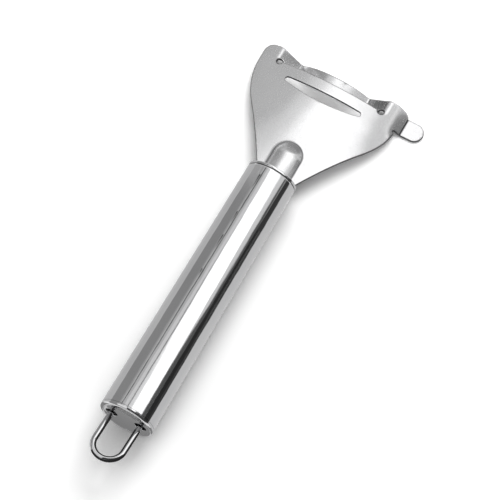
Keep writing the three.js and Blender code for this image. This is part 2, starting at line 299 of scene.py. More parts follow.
def bend(start, control, end):
    """Points of a quadratic curve, about OUTLINE_STEP apart, both ends included."""
    start, control, end = (np.asarray(p, float) for p in (start, control, end))
    steps = max(2, int(np.linalg.norm(end - start) / OUTLINE_STEP))
    t = np.linspace(0, 1, steps + 1)[:, None]
    return [tuple(p) for p in (1 - t) ** 2 * start + 2 * t * (1 - t) * control + t ** 2 * end]


def even_loop(points):
    """A closed loop with its long edges cut to about OUTLINE_STEP and its doubled points dropped."""
    points = np.asarray(points, float)
    kept = []
    for a, b in zip(points, np.roll(points, -1, axis=0)):
        length = np.linalg.norm(b - a)
        if length < SHORTEST_EDGE:
            continue
        steps = max(1, round(length / OUTLINE_STEP))
        kept.extend(a + (b - a) * i / steps for i in range(steps))
    return np.array(kept)


# Head: heights of its upper face

def ease(value, a, b):
    t = np.clip((value - a) / (b - a), 0, 1)
    return t * t * (3 - 2 * t)


def round_min(a, b, radius):
    share = np.maximum(radius - np.abs(a - b), 0) / radius
    return np.minimum(a, b) - share * share * radius / 4


def round_max(a, b, radius):
    return -round_min(-a, -b, radius)


def bead(x, y):
    """Round across, with a front end that falls off almost like a cone."""
    ahead = np.maximum(0, x - (BEAD_END - BEAD_HALF))
    away = np.hypot(ahead, y)
    dome = np.sqrt(np.maximum(BEAD_RADIUS ** 2 - away ** 2, 0)) - (BEAD_RADIUS - BEAD_HEIGHT)
    cone = BEAD_HEIGHT * (1 - (away / BEAD_HALF) ** BEAD_CONE)
    turn = (ahead / np.maximum(away, TINY)) ** 2
    raised = dome + (cone - dome) * turn
    return np.where(x < 0, np.maximum(dome, 0), round_max(raised, 0 * raised, BEAD_FILLET))


def plate_level(x, y):
    crown = NECK_LEVEL + (CROWN_LEVEL - NECK_LEVEL) * ease(x, BEAD_HALF, SLOT_FRONT)
    arched = crown - ARCH_FACTOR * ease(x, 0, SLOT_REAR) * y ** 2 + bead(x, y)
    past = np.maximum(0, -y - ROLL_FROM) / (ROLL_TO - ROLL_FROM)
    rolled = arched - ROLL_DROP * ease(x, SLOT_REAR, TONGUE_REAR) * past ** 2
    return np.where(-y > ROLL_FROM, round_max(rolled, TONGUE_LEVEL, TONGUE_ROUND), rolled)


def blade_level(x, y):
    across = np.abs(y)
    top = DIP_LEVEL + BLADE_RISE
    arch = top - BLADE_RADIUS + np.sqrt(np.maximum(BLADE_RADIUS ** 2 - across ** 2, 0))
    facet = DIP_LEVEL + (RIDGE_LEVEL - DIP_LEVEL) * (across - DIP_AT) / (RIDGE_AT - DIP_AT)
    return round_min(round_max(arch, facet, DIP_ROUND), plate_level(x, y), RIDGE_ROUND)


def head_level(x, y):
    across = np.abs(y)
    land = ease(across, STOP_HOLE_AT - STOP_HOLE_RADIUS, STOP_HOLE_AT + STOP_HOLE_RADIUS / 2)
    cut = np.where(x > SLIT_AT, 1.0, 0.0)
    slope = ease(x, SLIT_AT - STOP_HOLE_RADIUS, SLIT_AT + STOP_HOLE_RADIUS)
    dropped = cut + (slope - cut) * land
    plate = plate_level(x, y)
    return plate + (blade_level(x, y) - plate) * dropped


def upright(x, y):
    """Thickness measured straight up, so that the sheet keeps its gauge on a slope."""
    step = SLOPE_STEP
    ahead = np.where(x > SLIT_AT, step, -step)
    slope_x = (head_level(x + ahead, y) - head_level(x, y)) / ahead
    slope_y = (head_level(x, y + step) - head_level(x, y - step)) / (2 * step)
    return SHEET * np.sqrt(1 + slope_x ** 2 + slope_y ** 2)


# Head: outline in plan

def head_outline():
    tongue_front = TONGUE_REAR + TONGUE_WIDTH
    tongue_middle = TONGUE_REAR + TONGUE_WIDTH / 2
    tongue_straight = -(TONGUE_REACH - TONGUE_WIDTH / 2)
    right_edge = HEAD_HALF - RELIEF_INSET
    relief = (TONGUE_REAR - RELIEF_RADIUS, -right_edge)
    corner = (HEAD_LENGTH - EAR_CORNER, HEAD_HALF - EAR_CORNER)
    flare_right = (FLARE[0], -FLARE[1])
    points = [(-TANG_LENGTH, -TANG_HALF), (-NECK_RUN, -TANG_HALF)]
    points += bend((0, -NECK_HALF), (FLARE_BEND[0], -FLARE_BEND[1]), flare_right)
    shoulder_end = (TONGUE_REAR - 2 * RELIEF_RADIUS, -right_edge)
    points += bend(flare_right, (SHOULDER_BEND[0], -SHOULDER_BEND[1]), shoulder_end)
    points += arc(relief, RELIEF_RADIUS, math.pi, 0, RELIEF_STEPS)
    tip = (tongue_middle, tongue_straight)
    points += arc(tip, TONGUE_WIDTH / 2, math.pi, 2 * math.pi, TONGUE_STEPS)
    points += bend((tongue_front, -ROLL_TO), (HEAD_LENGTH, -ROLL_TO), (HEAD_LENGTH, -ROLL_FROM))
    hollow = (HEAD_LENGTH - 2 * FRONT_HOLLOW, 0)
    points += bend((HEAD_LENGTH, -RIDGE_AT), hollow, (HEAD_LENGTH, RIDGE_AT))
    points += arc(corner, EAR_CORNER, 0, math.pi / 2, CORNER_STEPS)
    points += bend((SHOULDER_AT, HEAD_HALF), SHOULDER_BEND, FLARE)
    points += bend(FLARE, FLARE_BEND, (0, NECK_HALF))
    points += [(-NECK_RUN, TANG_HALF), (-TANG_LENGTH, TANG_HALF)]
    return points


def slot_outline():
    tip_at = SLOT_HALF - SLOT_TIP
    tip_middle = SLOT_FRONT - SLOT_TIP
    tip_rear = SLOT_FRONT - 2 * SLOT_TIP
    bow = (2 * SLOT_REAR - tip_rear, 0)
    points = arc((tip_middle, tip_at), SLOT_TIP, 0, math.pi, TIP_STEPS)
    points += bend((tip_rear, tip_at), bow, (tip_rear, -tip_at))
    points += arc((tip_middle, -tip_at), SLOT_TIP, math.pi, 2 * math.pi, TIP_STEPS)
    return points


def slit_outline():
    lip = math.asin(SLIT_WIDTH / 2 / STOP_HOLE_RADIUS)
    quarter = math.pi / 2
    left, right = (SLIT_AT, STOP_HOLE_AT), (SLIT_AT, -STOP_HOLE_AT)
    points = arc(left, STOP_HOLE_RADIUS, lip - quarter, 3 * quarter - lip, STOP_HOLE_STEPS)
    points += arc(right, STOP_HOLE_RADIUS, quarter + lip, 5 * quarter - lip, STOP_HOLE_STEPS)
    return points


def pin_holes():
    return [arc((x, 0), PIN_HOLE_RADIUS, 0, 2 * math.pi, PIN_HOLE_STEPS)[:-1] for x in PIN_PLACES]


def inside(points, loop):
    """Which points lie inside a closed loop, by counting crossings."""
    hit = np.zeros(len(points), bool)
    for a, b in zip(loop, np.roll(loop, -1, axis=0)):
        crosses = (a[1] > points[:, 1]) != (b[1] > points[:, 1])
        rise = b[1] - a[1] if b[1] != a[1] else TINY
        hit ^= crosses & (points[:, 0] < (b[0] - a[0]) * (points[:, 1] - a[1]) / rise + a[0])
    return hit


def clear_of(points, loop, gap):
    """Which points lie further than gap from every corner of a fine loop."""
    ok = np.ones(len(points), bool)
    for corner in loop:
        ok &= np.hypot(points[:, 0] - corner[0], points[:, 1] - corner[1]) > gap
    return ok


def edge_rings(loop, into):
    """The loop and copies of it moved into the material, where the rounded edge runs out on the face."""
    after, before = np.roll(loop, -1, axis=0), np.roll(loop, 1, axis=0)
    along = after - before
    along /= np.linalg.norm(along, axis=1)[:, None]
    normal = np.stack([-along[:, 1], along[:, 0]], axis=1) * into
    return [loop + normal * EDGE_ROUND * share for share in EDGE_RINGS]


def signed_area(loop):
    after = np.roll(loop, -1, axis=0)
    return 0.5 * np.sum(loop[:, 0] * after[:, 1] - after[:, 0] * loop[:, 1])


def on_sheet(points, outer, holes):
    """Which points lie inside the outline and outside the holes."""
    hit = inside(points, outer)
    for hole in holes:
        hit &= ~inside(points, hole)
    return hit


def edge_points(outer, holes):
    """Points and edges along all loops, how far the rounding sinks each point, and where the rims start."""
    points, drops, edges, rims = [], [], [], []
    for loop, is_hole in [(outer, False), *((hole, True) for hole in holes)]:
        into = (-1 if is_hole else 1) * (1 if signed_area(loop) > 0 else -1)
        for share, ring in zip(EDGE_RINGS, edge_rings(loop, into)):
            start, count = len(points), len(ring)
            points.extend(ring)
            rest = EDGE_ROUND * (1 - share)
            drops.extend([EDGE_ROUND - math.sqrt(EDGE_ROUND ** 2 - rest ** 2)] * count)
            edges.extend((start + i, start + (i + 1) % count) for i in range(count))
            if share == 0:
                rims.append((start, count))
    return points, drops, edges, rims


def grid_points(outer, holes):
    """Points of an even grid on the sheet, clear of its edges."""
    low, high = outer.min(0), outer.max(0)
    grid_x, grid_y = (np.arange(a, b, GRID_STEP) for a, b in zip(low, high))
    grid = np.stack(np.meshgrid(grid_x, grid_y, indexing="ij"), axis=-1).reshape(-1, 2)
    grid = grid[on_sheet(grid, outer, holes)]
    for loop in (outer, *holes):
        grid = grid[clear_of(grid, loop, EDGE_ROUND + GRID_STEP / 2)]
    return grid


def head_mesh():
    """Points, faces, and for each face whether it is on a cut edge, which gets painted shade."""
    outer = even_loop(head_outline())
    holes = [even_loop(loop) for loop in (slot_outline(), slit_outline(), *pin_holes())]
    points, drops, edges, rims = edge_points(outer, holes)
    grid = grid_points(outer, holes)
    points = [Vector(p) for p in (*points, *grid)]
    plan, _, faces, sources, _, _ = delaunay_2d_cdt(points, edges, [], 0, PLAN_TOLERANCE)
    plan, faces = np.array([tuple(v) for v in plan]), np.array(faces)
    source = [ids[0] for ids in sources]
    drop = np.array(drops + [0.0] * len(grid))[source]
    faces = faces[on_sheet(plan[faces].mean(axis=1), outer, holes)]
    on_edge = (drop[faces] > 0).any(axis=1).tolist()
    x, y = plan.T
    level = head_level(x, y)
    top = np.stack([x, y, level - drop], axis=1)
    under = np.stack([x, y, level - upright(x, y) + drop], axis=1)
    count = len(plan)
    new_place = {old: new for new, old in reversed(list(enumerate(source)))}
    sides = []
    for start, length in rims:
        for i in range(length):
            a, b = new_place[start + i], new_place[start + (i + 1) % length]
            sides.append((a, b, b + count, a + count))
    faces = [tuple(f) for f in faces] + [tuple(f[::-1] + count) for f in faces] + sides
    return np.concatenate([top, under]), faces, on_edge + on_edge + [True] * len(sides)


def stamped_head(material):
    verts, faces, on_edge = head_mesh()
    obj = new_object("stamped_head", verts, faces)
    # The flag picks out the cut edge faces, which get painted shade and more roughness
    obj.data.attributes.new(SHEARED_AND_SHADED, "FLOAT", "FACE").data.foreach_set("value", on_edge)
    weld(obj)
    dress(obj, material, "tool", "head_plate")


# Handle and rear cap

def polished_handle(material):
    mouth_inner = MOUTH_RADIUS - TUBE_WALL
    straight_end = -SEAM_AT - 2 * SEAM_HALF
    outline = [(-HANDLE_LENGTH, REAR_RADIUS - TUBE_WALL)]
    outline += [(x, outer_radius(x)) for x in np.linspace(-HANDLE_LENGTH, straight_end, TUBE_RINGS)]
    for share in np.linspace(-1, 1, SEAM_RINGS):
        x = -SEAM_AT + share * SEAM_HALF
        outline.append((x, outer_radius(x) - SEAM_DEPTH * (1 + math.cos(math.pi * share)) / 2))
    outline += arc((-MOUTH_LIP, MOUTH_RADIUS - MOUTH_LIP), MOUTH_LIP, math.pi / 2, 0, MOUTH_STEPS)
    outline += [(0, mouth_inner + MOUTH_CHAMFER), (-MOUTH_CHAMFER, mouth_inner)]
    outline += [(-TANG_LENGTH, bore_radius(-TANG_LENGTH))]
    verts, faces = turned(outline)
    obj = new_object("polished_handle", verts, faces)
    weld(obj)
    obj.data.set_sharp_from_angle(angle=math.radians(SHARP_ANGLE))
    dress(obj, material, "tool", "handle_tube")


def cap_outline():
    seat = -HANDLE_LENGTH - PRESS_GAP
    rim = CAP_RIM / 2
    lip = CAP_RECESS / 2
    face = REAR_RADIUS - CAP_RIM_WIDTH
    inner_face = CAP_FACE + CAP_PLATE
    outline = [(inner_face, 0), (inner_face, CUP_RADIUS), (SKIRT_END, CUP_RADIUS)]
    outline += [(SKIRT_END, SKIRT_RADIUS), (seat, SKIRT_RADIUS), (seat, REAR_RADIUS)]
    outline += arc((REAR_FACE + rim, REAR_RADIUS - rim), rim, math.pi / 2, math.pi, RIM_STEPS)
    outline += arc((REAR_FACE + lip, face + CAP_RECESS + lip), lip, math.pi, 1.5 * math.pi, LIP_STEPS)
    outline += [(CAP_FACE, face), (CAP_FACE, 0)]
    return outline


def hole_cutter(side):
    """A round cutter whose outer end widens, so that the hole it leaves has a rounded lip."""
    start, end = CAP_FACE - 2 * HOLE_LIP, CAP_FACE + 2 * CAP_PLATE
    wide = LOOP_HOLE_RADIUS + HOLE_LIP
    outline = [(start, 0), (start, wide), (CAP_FACE, wide)]
    outline += arc((CAP_FACE + HOLE_LIP, wide), HOLE_LIP, math.pi, 1.5 * math.pi, LIP_STEPS)
    outline += [(end, LOOP_HOLE_RADIUS), (end, 0)]
    verts, faces = turned(outline, HOLE_STEPS, axis_y=side * LOOP_HALF_SPAN)
    obj = new_object("hole_cutter", verts, faces)
    weld(obj)
    return obj


def rear_cap(material):
    verts, faces = turned(cap_outline())
    obj = new_object("rear_cap", verts, faces)
    weld(obj)
    for side in (-1, 1):
        cutter = hole_cutter(side)
        cut = obj.modifiers.new("hole", "BOOLEAN")
        cut.operation = "DIFFERENCE"
        cut.solver = "EXACT"
        cut.object = cutter
        bpy.context.view_layer.update()
        shape = obj.evaluated_get(bpy.context.evaluated_depsgraph_get())
        done = bpy.data.meshes.new_from_object(shape)
        obj.modifiers.clear()
        obj.data = done
        bpy.data.objects.remove(cutter)
    smooth(obj.data)
    obj.data.set_sharp_from_angle(angle=math.radians(SHARP_ANGLE))
    dress(obj, material, "tool", "end_cap")


# Hanging loop

def wire_path():
    """Centre line from foot to foot, in the loop's own plane with its feet on the pivot axis."""
    bow_x = -(LOOP_REACH - LOOP_HALF_SPAN)
    half = [(0, LOOP_HALF_SPAN + FOOT_LENGTH)]
    half += [(-FOOT_BEND * (1 - math.cos(t)), LOOP_HALF_SPAN + FOOT_BEND * (1 - math.sin(t)))
             for t in np.linspace(0, math.pi / 2, FOOT_RINGS)]
    half += [(x, LOOP_HALF_SPAN) for x in np.linspace(-FOOT_BEND, bow_x, LEG_RINGS)[1:-1]]
    bow = [(bow_x - LOOP_HALF_SPAN * math.cos(t), LOOP_HALF_SPAN * math.sin(t))
           for t in np.linspace(math.pi / 2, -math.pi / 2, BOW_RINGS)]
    return np.array(half + bow + [(x, -y) for x, y in half[::-1]])


def wire_inward(path):
    """Directions from the wire's centre line to the inside of the loop."""
    along = np.gradient(path, axis=0)
    along /= np.linalg.norm(along, axis=1)[:, None]
    return np.stack([-along[:, 1], along[:, 0]], axis=1)


def lifted(points):
    """Points of the loop's own plane, turned up to where the loop stands and moved to its pivot."""
    rise = math.radians(LOOP_RISE)
    x, y, z = points.T
    return np.stack([PIVOT_X + x * math.cos(rise) + z * math.sin(rise), y,
                     -x * math.sin(rise) + z * math.cos(rise)], axis=1)


def wire_loop(material):
    path = wire_path()
    inward = wire_inward(path)
    turn = np.linspace(0, 2 * math.pi, WIRE_SIDES, endpoint=False)
    flat = path[:, None, :] + inward[:, None, :] * (WIRE_RADIUS * np.cos(turn))[None, :, None]
    high = np.broadcast_to(WIRE_RADIUS * np.sin(turn), flat.shape[:2])
    verts = lifted(np.concatenate([flat, high[..., None]], axis=2).reshape(-1, 3))
    faces = []
    for i in range(len(path) - 1):
        for j in range(WIRE_SIDES):
            a, b = i * WIRE_SIDES + j, i * WIRE_SIDES + (j + 1) % WIRE_SIDES
            faces.append((a, b, b + WIRE_SIDES, a + WIRE_SIDES))
    faces.append(tuple(range(WIRE_SIDES)))
    faces.append(tuple(range(len(verts) - 1, len(verts) - 1 - WIRE_SIDES, -1)))
    obj = new_object("wire_loop", verts, faces)
    weld(obj)
    dress(obj, material, "loop", "hanging_loop")


# Materials: patterns as (waves per metre, detail, stretch), tints from dark to light, roughness from low to
# high, and the heights of bumps in millimetres

PATTERN_RANGE = (0.3, 0.7)
POLISHED_CLOUD = (60, 3)
POLISHED_DRAWN = (900, 2, (0.03, 1, 1))
POLISHED_RIPPLE = (400, 2, (0.25, 1, 1))
POLISHED_TINT = ((0.62, 0.62, 0.63), (0.66, 0.66, 0.665))
POLISHED_ROUGHNESS = (0.06, 0.11)
POLISHED_HEIGHTS = (0.001, 0.03, 0.012)
# Painted shade: the dark colour laid in the seam groove before the mouth
SEAM_SHADE_TINT = ((0.07, 0.07, 0.07), (0.15, 0.15, 0.15))
SATIN_CLOUD = (90, 4)
SATIN_PEEL = (800, 2)
SATIN_GRAIN = (2600, 2)
SATIN_TINT = ((0.62, 0.62, 0.625), (0.67, 0.67, 0.675))
SATIN_ROUGHNESS = (0.19, 0.28)
SATIN_HEIGHTS = (0.001, 0.01, 0.016)
# Painted shade: the near-black colour of the cut edges, stop hole rims, bead foot and tongue crease
PAINTED_SHADE_TINT = ((0.05, 0.05, 0.052), (0.11, 0.11, 0.112))
SHEARED_ROUGHNESS = (0.4, 0.55)
WIRE_DRAWN = (700, 2)
WIRE_TINT = ((0.5, 0.5, 0.51), (0.57, 0.57, 0.575))
WIRE_ROUGHNESS = (0.05, 0.1)
WIRE_HEIGHT = 0.002
PLASTIC_GRAIN = (1500, 3)
PLASTIC_TINT = ((0.1, 0.1, 0.105), (0.16, 0.16, 0.165))
PLASTIC_ROUGHNESS = (0.5, 0.7)
PLASTIC_HEIGHT = 0.02
# Places of a Mix node's colour sockets, which share their names with its other sockets
MIX_PLAIN, MIX_MARKED, MIX_COLOUR = 6, 7, 2


def new_material(name):
    material = bpy.data.materials.new(name)
    material.use_nodes = True
    nodes, links = material.node_tree.nodes, material.node_tree.links
    return material, nodes, links, nodes["Principled BSDF"]


def position(nodes):
    """Where a point of the object lies in the shared frame at rest, whatever its pose."""
    return nodes.new("ShaderNodeTexCoord").outputs["Object"]


def position_parts(nodes, links):
    parts = nodes.new("ShaderNodeSeparateXYZ")
    links.new(position(nodes), parts.inputs["Vector"])
    return parts.outputs


def noise(nodes, links, scale, detail, stretch=(1, 1, 1)):
    """A noise pattern fixed to the object, with its scale in waves per metre."""
    mapping = nodes.new("ShaderNodeMapping")
    mapping.inputs["Scale"].default_value = stretch
    texture = nodes.new("ShaderNodeTexNoise")
    texture.inputs["Scale"].default_value = scale
    texture.inputs["Detail"].default_value = detail
    links.new(position(nodes), mapping.inputs["Vector"])
    links.new(mapping.outputs["Vector"], texture.inputs["Vector"])
    return texture.outputs["Fac"]


def between(nodes, links, value, low, high):
    """Maps a pattern from PATTERN_RANGE, where most of its values lie, to low..high."""
    node = nodes.new("ShaderNodeMapRange")
    node.inputs["From Min"].default_value, node.inputs["From Max"].default_value = PATTERN_RANGE
    node.inputs["To Min"].default_value = low
    node.inputs["To Max"].default_value = high
    links.new(value, node.inputs["Value"])
    return node.outputs["Result"]


def shades(nodes, links, value, dark, light):
    """Maps a pattern to colours from dark to light."""
    ramp = nodes.new("ShaderNodeValToRGB")
    for stop, place_on, colour in zip(ramp.color_ramp.elements, PATTERN_RANGE, (dark, light)):
        stop.position = place_on
        stop.color = (*colour, 1)
    links.new(value, ramp.inputs["Fac"])
    return ramp.outputs["Color"]


def calculate(nodes, links, operation, *values):
    """A math node on sockets and numbers."""
    node = nodes.new("ShaderNodeMath")
    node.operation = operation
    for place_in, value in zip(node.inputs, values):
        if isinstance(value, (int, float)):
            place_in.default_value = value
        else:
            links.new(value, place_in)
    return node.outputs[0]


def fade(nodes, links, away, reach, share=1):
    """share up to reach[0] millimetres away, falling to 0 at reach[1]."""
    node = nodes.new("ShaderNodeMapRange")
    node.inputs["From Min"].default_value = reach[1] * MM
    node.inputs["From Max"].default_value = reach[0] * MM
    node.inputs["To Max"].default_value = share
    links.new(away, node.inputs["Value"])
    return node.outputs["Result"]


def line_mark(nodes, links, axis, at, reach):
    """1 on a line at one place along an axis, and 0 away from it."""
    spot = float(place((at, at, at))["XYZ".index(axis)])
    off = calculate(nodes, links, "SUBTRACT", position_parts(nodes, links)[axis], spot)
    return fade(nodes, links, calculate(nodes, links, "ABSOLUTE", off), reach)


def stop_hole_shade(nodes, links, side):
    """1 on a ring of painted shade round a stop hole, and 0 away from it."""
    middle = (SLIT_AT, side * STOP_HOLE_AT, float(head_level(SLIT_AT, side * STOP_HOLE_AT)))
    away = nodes.new("ShaderNodeVectorMath")
    away.operation = "DISTANCE"
    away.inputs[1].default_value = place(middle)
    links.new(position(nodes), away.inputs[0])
    return fade(nodes, links, away.outputs["Value"], [STOP_HOLE_RADIUS + reach for reach in HOLE_SHADE_REACH])


def bead_foot_shade(nodes, links):
    """BEAD_LINE_SHARE on a line of painted shade round the bead's foot, and 0 away from it."""
    parts = position_parts(nodes, links)
    middle = place((BEAD_END - BEAD_HALF, 0, 0))
    ahead = calculate(nodes, links, "SUBTRACT", parts["X"], float(middle[0]))
    ahead = calculate(nodes, links, "MAXIMUM", ahead, 0)
    aside = calculate(nodes, links, "SUBTRACT", parts["Y"], float(middle[1]))
    squared = calculate(nodes, links, "MULTIPLY", aside, aside)
    squared = calculate(nodes, links, "MULTIPLY_ADD", ahead, ahead, squared)
    away = calculate(nodes, links, "SQRT", squared)
    off = calculate(nodes, links, "ABSOLUTE", calculate(nodes, links, "SUBTRACT", away, BEAD_LINE_AT * MM))
    return fade(nodes, links, off, BEAD_LINE_REACH, BEAD_LINE_SHARE)


def painted_sheet_shade(nodes, links):
    """1 where shade is painted on the stamped sheet, and 0 on its plain faces."""
    edge = nodes.new("ShaderNodeAttribute")
    edge.attribute_name = SHEARED_AND_SHADED
    shade_marks = edge.outputs["Fac"]
    others = [stop_hole_shade(nodes, links, side) for side in (-1, 1)]
    # Painted shade at the bead's foot and in the crease before the tongue
    others += [bead_foot_shade(nodes, links), line_mark(nodes, links, "Y", CREASE_AT, CREASE_REACH)]
    for mark in others:
        shade_marks = calculate(nodes, links, "MAXIMUM", shade_marks, mark)
    return shade_marks


def tinted(nodes, links, share, plain, marked):
    """The plain colour where share is 0, and the marked one where it is 1."""
    tint = nodes.new("ShaderNodeMix")
    tint.data_type = "RGBA"
    links.new(share, tint.inputs["Factor"])
    links.new(plain, tint.inputs[MIX_PLAIN])
    links.new(marked, tint.inputs[MIX_MARKED])
    return tint.outputs[MIX_COLOUR]


def bumps(nodes, links, patterns, heights):
    """Stacks patterns of some heights, in millimetres, into one normal."""
    normal = None
    for value, height in zip(patterns, heights):
        node = nodes.new("ShaderNodeBump")
        node.inputs["Distance"].default_value = height * MM
        node.inputs["Strength"].default_value = 1
        links.new(value, node.inputs["Height"])
        if normal is not None:
            links.new(normal, node.inputs["Normal"])
        normal = node.outputs["Normal"]
    return normal


def polished_steel():
    """Drawn tube: long ripples, and a dark line of painted shade in the seam groove before the mouth."""
    material, nodes, links, shader = new_material("polished_steel")
    cloud = noise(nodes, links, *POLISHED_CLOUD)
    drawn = noise(nodes, links, *POLISHED_DRAWN)
    ripple = noise(nodes, links, *POLISHED_RIPPLE)
    seam = line_mark(nodes, links, "X", -SEAM_AT, SEAM_REACH)
    metal = shades(nodes, links, cloud, *POLISHED_TINT)
    # Painted shade in the seam groove before the mouth
    seam_shade = shades(nodes, links, drawn, *SEAM_SHADE_TINT)
    links.new(tinted(nodes, links, seam, metal, seam_shade), shader.inputs["Base Color"])
    links.new(between(nodes, links, drawn, *POLISHED_ROUGHNESS), shader.inputs["Roughness"])
    links.new(bumps(nodes, links, (drawn, ripple, cloud), POLISHED_HEIGHTS), shader.inputs["Normal"])
    shader.inputs["Metallic"].default_value = 1
    return material


def satin_steel():
    """Stamped sheet: fine peel and grain on its faces, and painted shade, also rougher, on its edges and
    creases.
    """
    material, nodes, links, shader = new_material("satin_steel")
    cloud = noise(nodes, links, *SATIN_CLOUD)
    peel = noise(nodes, links, *SATIN_PEEL)
    grain = noise(nodes, links, *SATIN_GRAIN)
    shade_marks = painted_sheet_shade(nodes, links)
    face = shades(nodes, links, cloud, *SATIN_TINT)
    # Painted shade: the near-black colour for the cut edges, the stop hole rims, the bead's foot and the
    # crease
    cut_edge_shade = shades(nodes, links, grain, *PAINTED_SHADE_TINT)
    links.new(tinted(nodes, links, shade_marks, face, cut_edge_shade), shader.inputs["Base Color"])
    gloss = nodes.new("ShaderNodeMix")
    links.new(shade_marks, gloss.inputs["Factor"])
    links.new(between(nodes, links, grain, *SATIN_ROUGHNESS), gloss.inputs["A"])
    links.new(between(nodes, links, grain, *SHEARED_ROUGHNESS), gloss.inputs["B"])
    links.new(gloss.outputs["Result"], shader.inputs["Roughness"])
    links.new(bumps(nodes, links, (grain, peel, cloud), SATIN_HEIGHTS), shader.inputs["Normal"])
    shader.inputs["Metallic"].default_value = 1
    return material


def bright_wire():
    material, nodes, links, shader = new_material("bright_wire")
    drawn = noise(nodes, links, *WIRE_DRAWN)
    links.new(shades(nodes, links, drawn, *WIRE_TINT), shader.inputs["Base Color"])
    links.new(between(nodes, links, drawn, *WIRE_ROUGHNESS), shader.inputs["Roughness"])
    links.new(bumps(nodes, links, (drawn,), (WIRE_HEIGHT,)), shader.inputs["Normal"])
    shader.inputs["Metallic"].default_value = 1
    return material


def plug_plastic():
    material, nodes, links, shader = new_material("plug_plastic")
    grain = noise(nodes, links, *PLASTIC_GRAIN)
    links.new(shades(nodes, links, grain, *PLASTIC_TINT), shader.inputs["Base Color"])
    links.new(between(nodes, links, grain, *PLASTIC_ROUGHNESS), shader.inputs["Roughness"])
    links.new(bumps(nodes, links, (grain,), (PLASTIC_HEIGHT,)), shader.inputs["Normal"])
    return material


# Stage: floor, world, cards that only the metal mirrors, lamp and camera

CARD_RADIUS = 400
CARD_STEPS = 16
REAR_END = -700
FRONT_END = 900
ON_TABLE = -9.5
OVER_HEAD = 60
BESIDE_MOUTH = -16
# Cards bent round the handle's axis: name, strength, and at two or more places along the axis the angles that
# the card runs between, counted from straight up to the right
CARDS = (
    ("left_skirt", 0.66, ((REAR_END, -91.5, -88), (208, -91.5, -88))),
    ("left_wall", 0.33, ((REAR_END, -88, -46), (146, -88, -46))),
    ("left_wall_ahead", 0.5, ((146, -88, -46), (166, -88, -60), (208, -88, -60))),
    ("left_wall_front", 0.5, ((208, -88, -62), (FRONT_END, -88, -62))),
    ("left_low", 0.45, ((0, -46, -41), (146, -46, -41), (172, -60, -41))),
    ("left_middle", 0.58, ((0, -41, -36), (172, -41, -36))),
    ("left_bar", 0.15, ((0, -36, -33.8), (94, -36, -31.5), (172, -36, -30.5))),
    ("left_sky_low", 0.62, ((0, -33.8, -23), (94, -31.5, -23), (172, -30.5, -23))),
    ("left_sky", 0.84, ((0, -23, -10.5), (30, -23, -10.5), (48, -23, -9.5), (67, -23, -9), (85, -23, -10),
                        (103, -23, -10.5), (152, -23, -10.5), (172, -23, -15))),
    ("left_gap", 0.25, ((0, -10.5, -7), (30, -10.5, -7), (48, -9.5, -6), (67, -9, -5), (85, -10, -7),
                        (103, -10.5, -8.5), (122, -10.5, -9.5), (152, -10.5, -10))),
    ("left_step", 1.0, ((0, -7, 10), (30, -7, 7.5), (48, -6, 6), (67, -5, -3), (85, -7, -4.5),
                        (103, -8.5, -6), (122, -9.5, -7.5), (152, -10, -9.5))),
    ("left_ahead", 0.68, ((172, -60, -15), (208, -60, -20))),
    ("softbox", 1.8, ((0, 10, 28), (16, 10, 28), (18, 9, 54.5), (30, 7.5, 53.5), (48, 6, 52), (67, -3, 51.5),
                      (85, -4.5, 48.5), (103, -6, 47), (122, -7.5, 45), (152, -9.5, 42), (172, -15, 20),
                      (208, -20, 3))),
    ("right_step", 0.85, ((18, 54.5, 55), (48, 52, 53), (67, 51.5, 54), (85, 48.5, 61), (103, 47, 61),
                          (122, 45, 61), (153, 42, 61.5), (154, 42, 95), (172, 20, 95), (208, 3, 95))),
    ("right_ramp", 0.45, ((67, 54, 54.5), (85, 61, 63), (103, 61, 65), (122, 61, 64), (153, 61.5, 62))),
    ("right_upper", 0.12, ((0, 28, 70), (16, 28, 70), (18, 55, 70), (48, 53, 70.5), (67, 54.5, 71),
                           (85, 63, 71.5), (103, 65, 72), (122, 64, 73), (153, 62, 74))),
    ("right_middle", 0.03, ((0, 70, 92), (48, 70.5, 89), (67, 71, 88), (85, 71.5, 86), (103, 72, 84),
                            (122, 73, 84), (153, 74, 84))),
    ("right_low", 0.09, ((0, 92, 95), (48, 89, 95), (67, 88, 95), (103, 84, 95), (153, 84, 95))),
    ("blade_left", 0.62, ((208, -62, -36), (FRONT_END, -62, -36))),
    ("blade_white", 1.6, ((208, -36, 42), (350, -36, 42))),
    ("blade_bar", 0.95, ((208, 42, 49), (350, 42, 49))),
    ("blade_right", 0.82, ((208, 49, 76), (350, 49, 76))),
    ("front_low", 0.7, ((208, 76, 95), (FRONT_END, 76, 95))),
    ("front_sky", 0.7, ((350, -36, 76), (560, -36, 76))),
    ("front_dark", 0.38, ((560, -36, 76), (FRONT_END, -36, 76))),
    ("rear_left", 1.1, ((-250, -50, -8), (0, -50, -8))),
    ("rear_far", 0.6, ((REAR_END, -50, -8), (-250, -50, -8))),
    ("rear_right", 0.06, ((-450, -8, 95), (0, -8, 95))),
    ("rear_far_right", 0.4, ((REAR_END, -8, 95), (-450, -8, 95))),
)
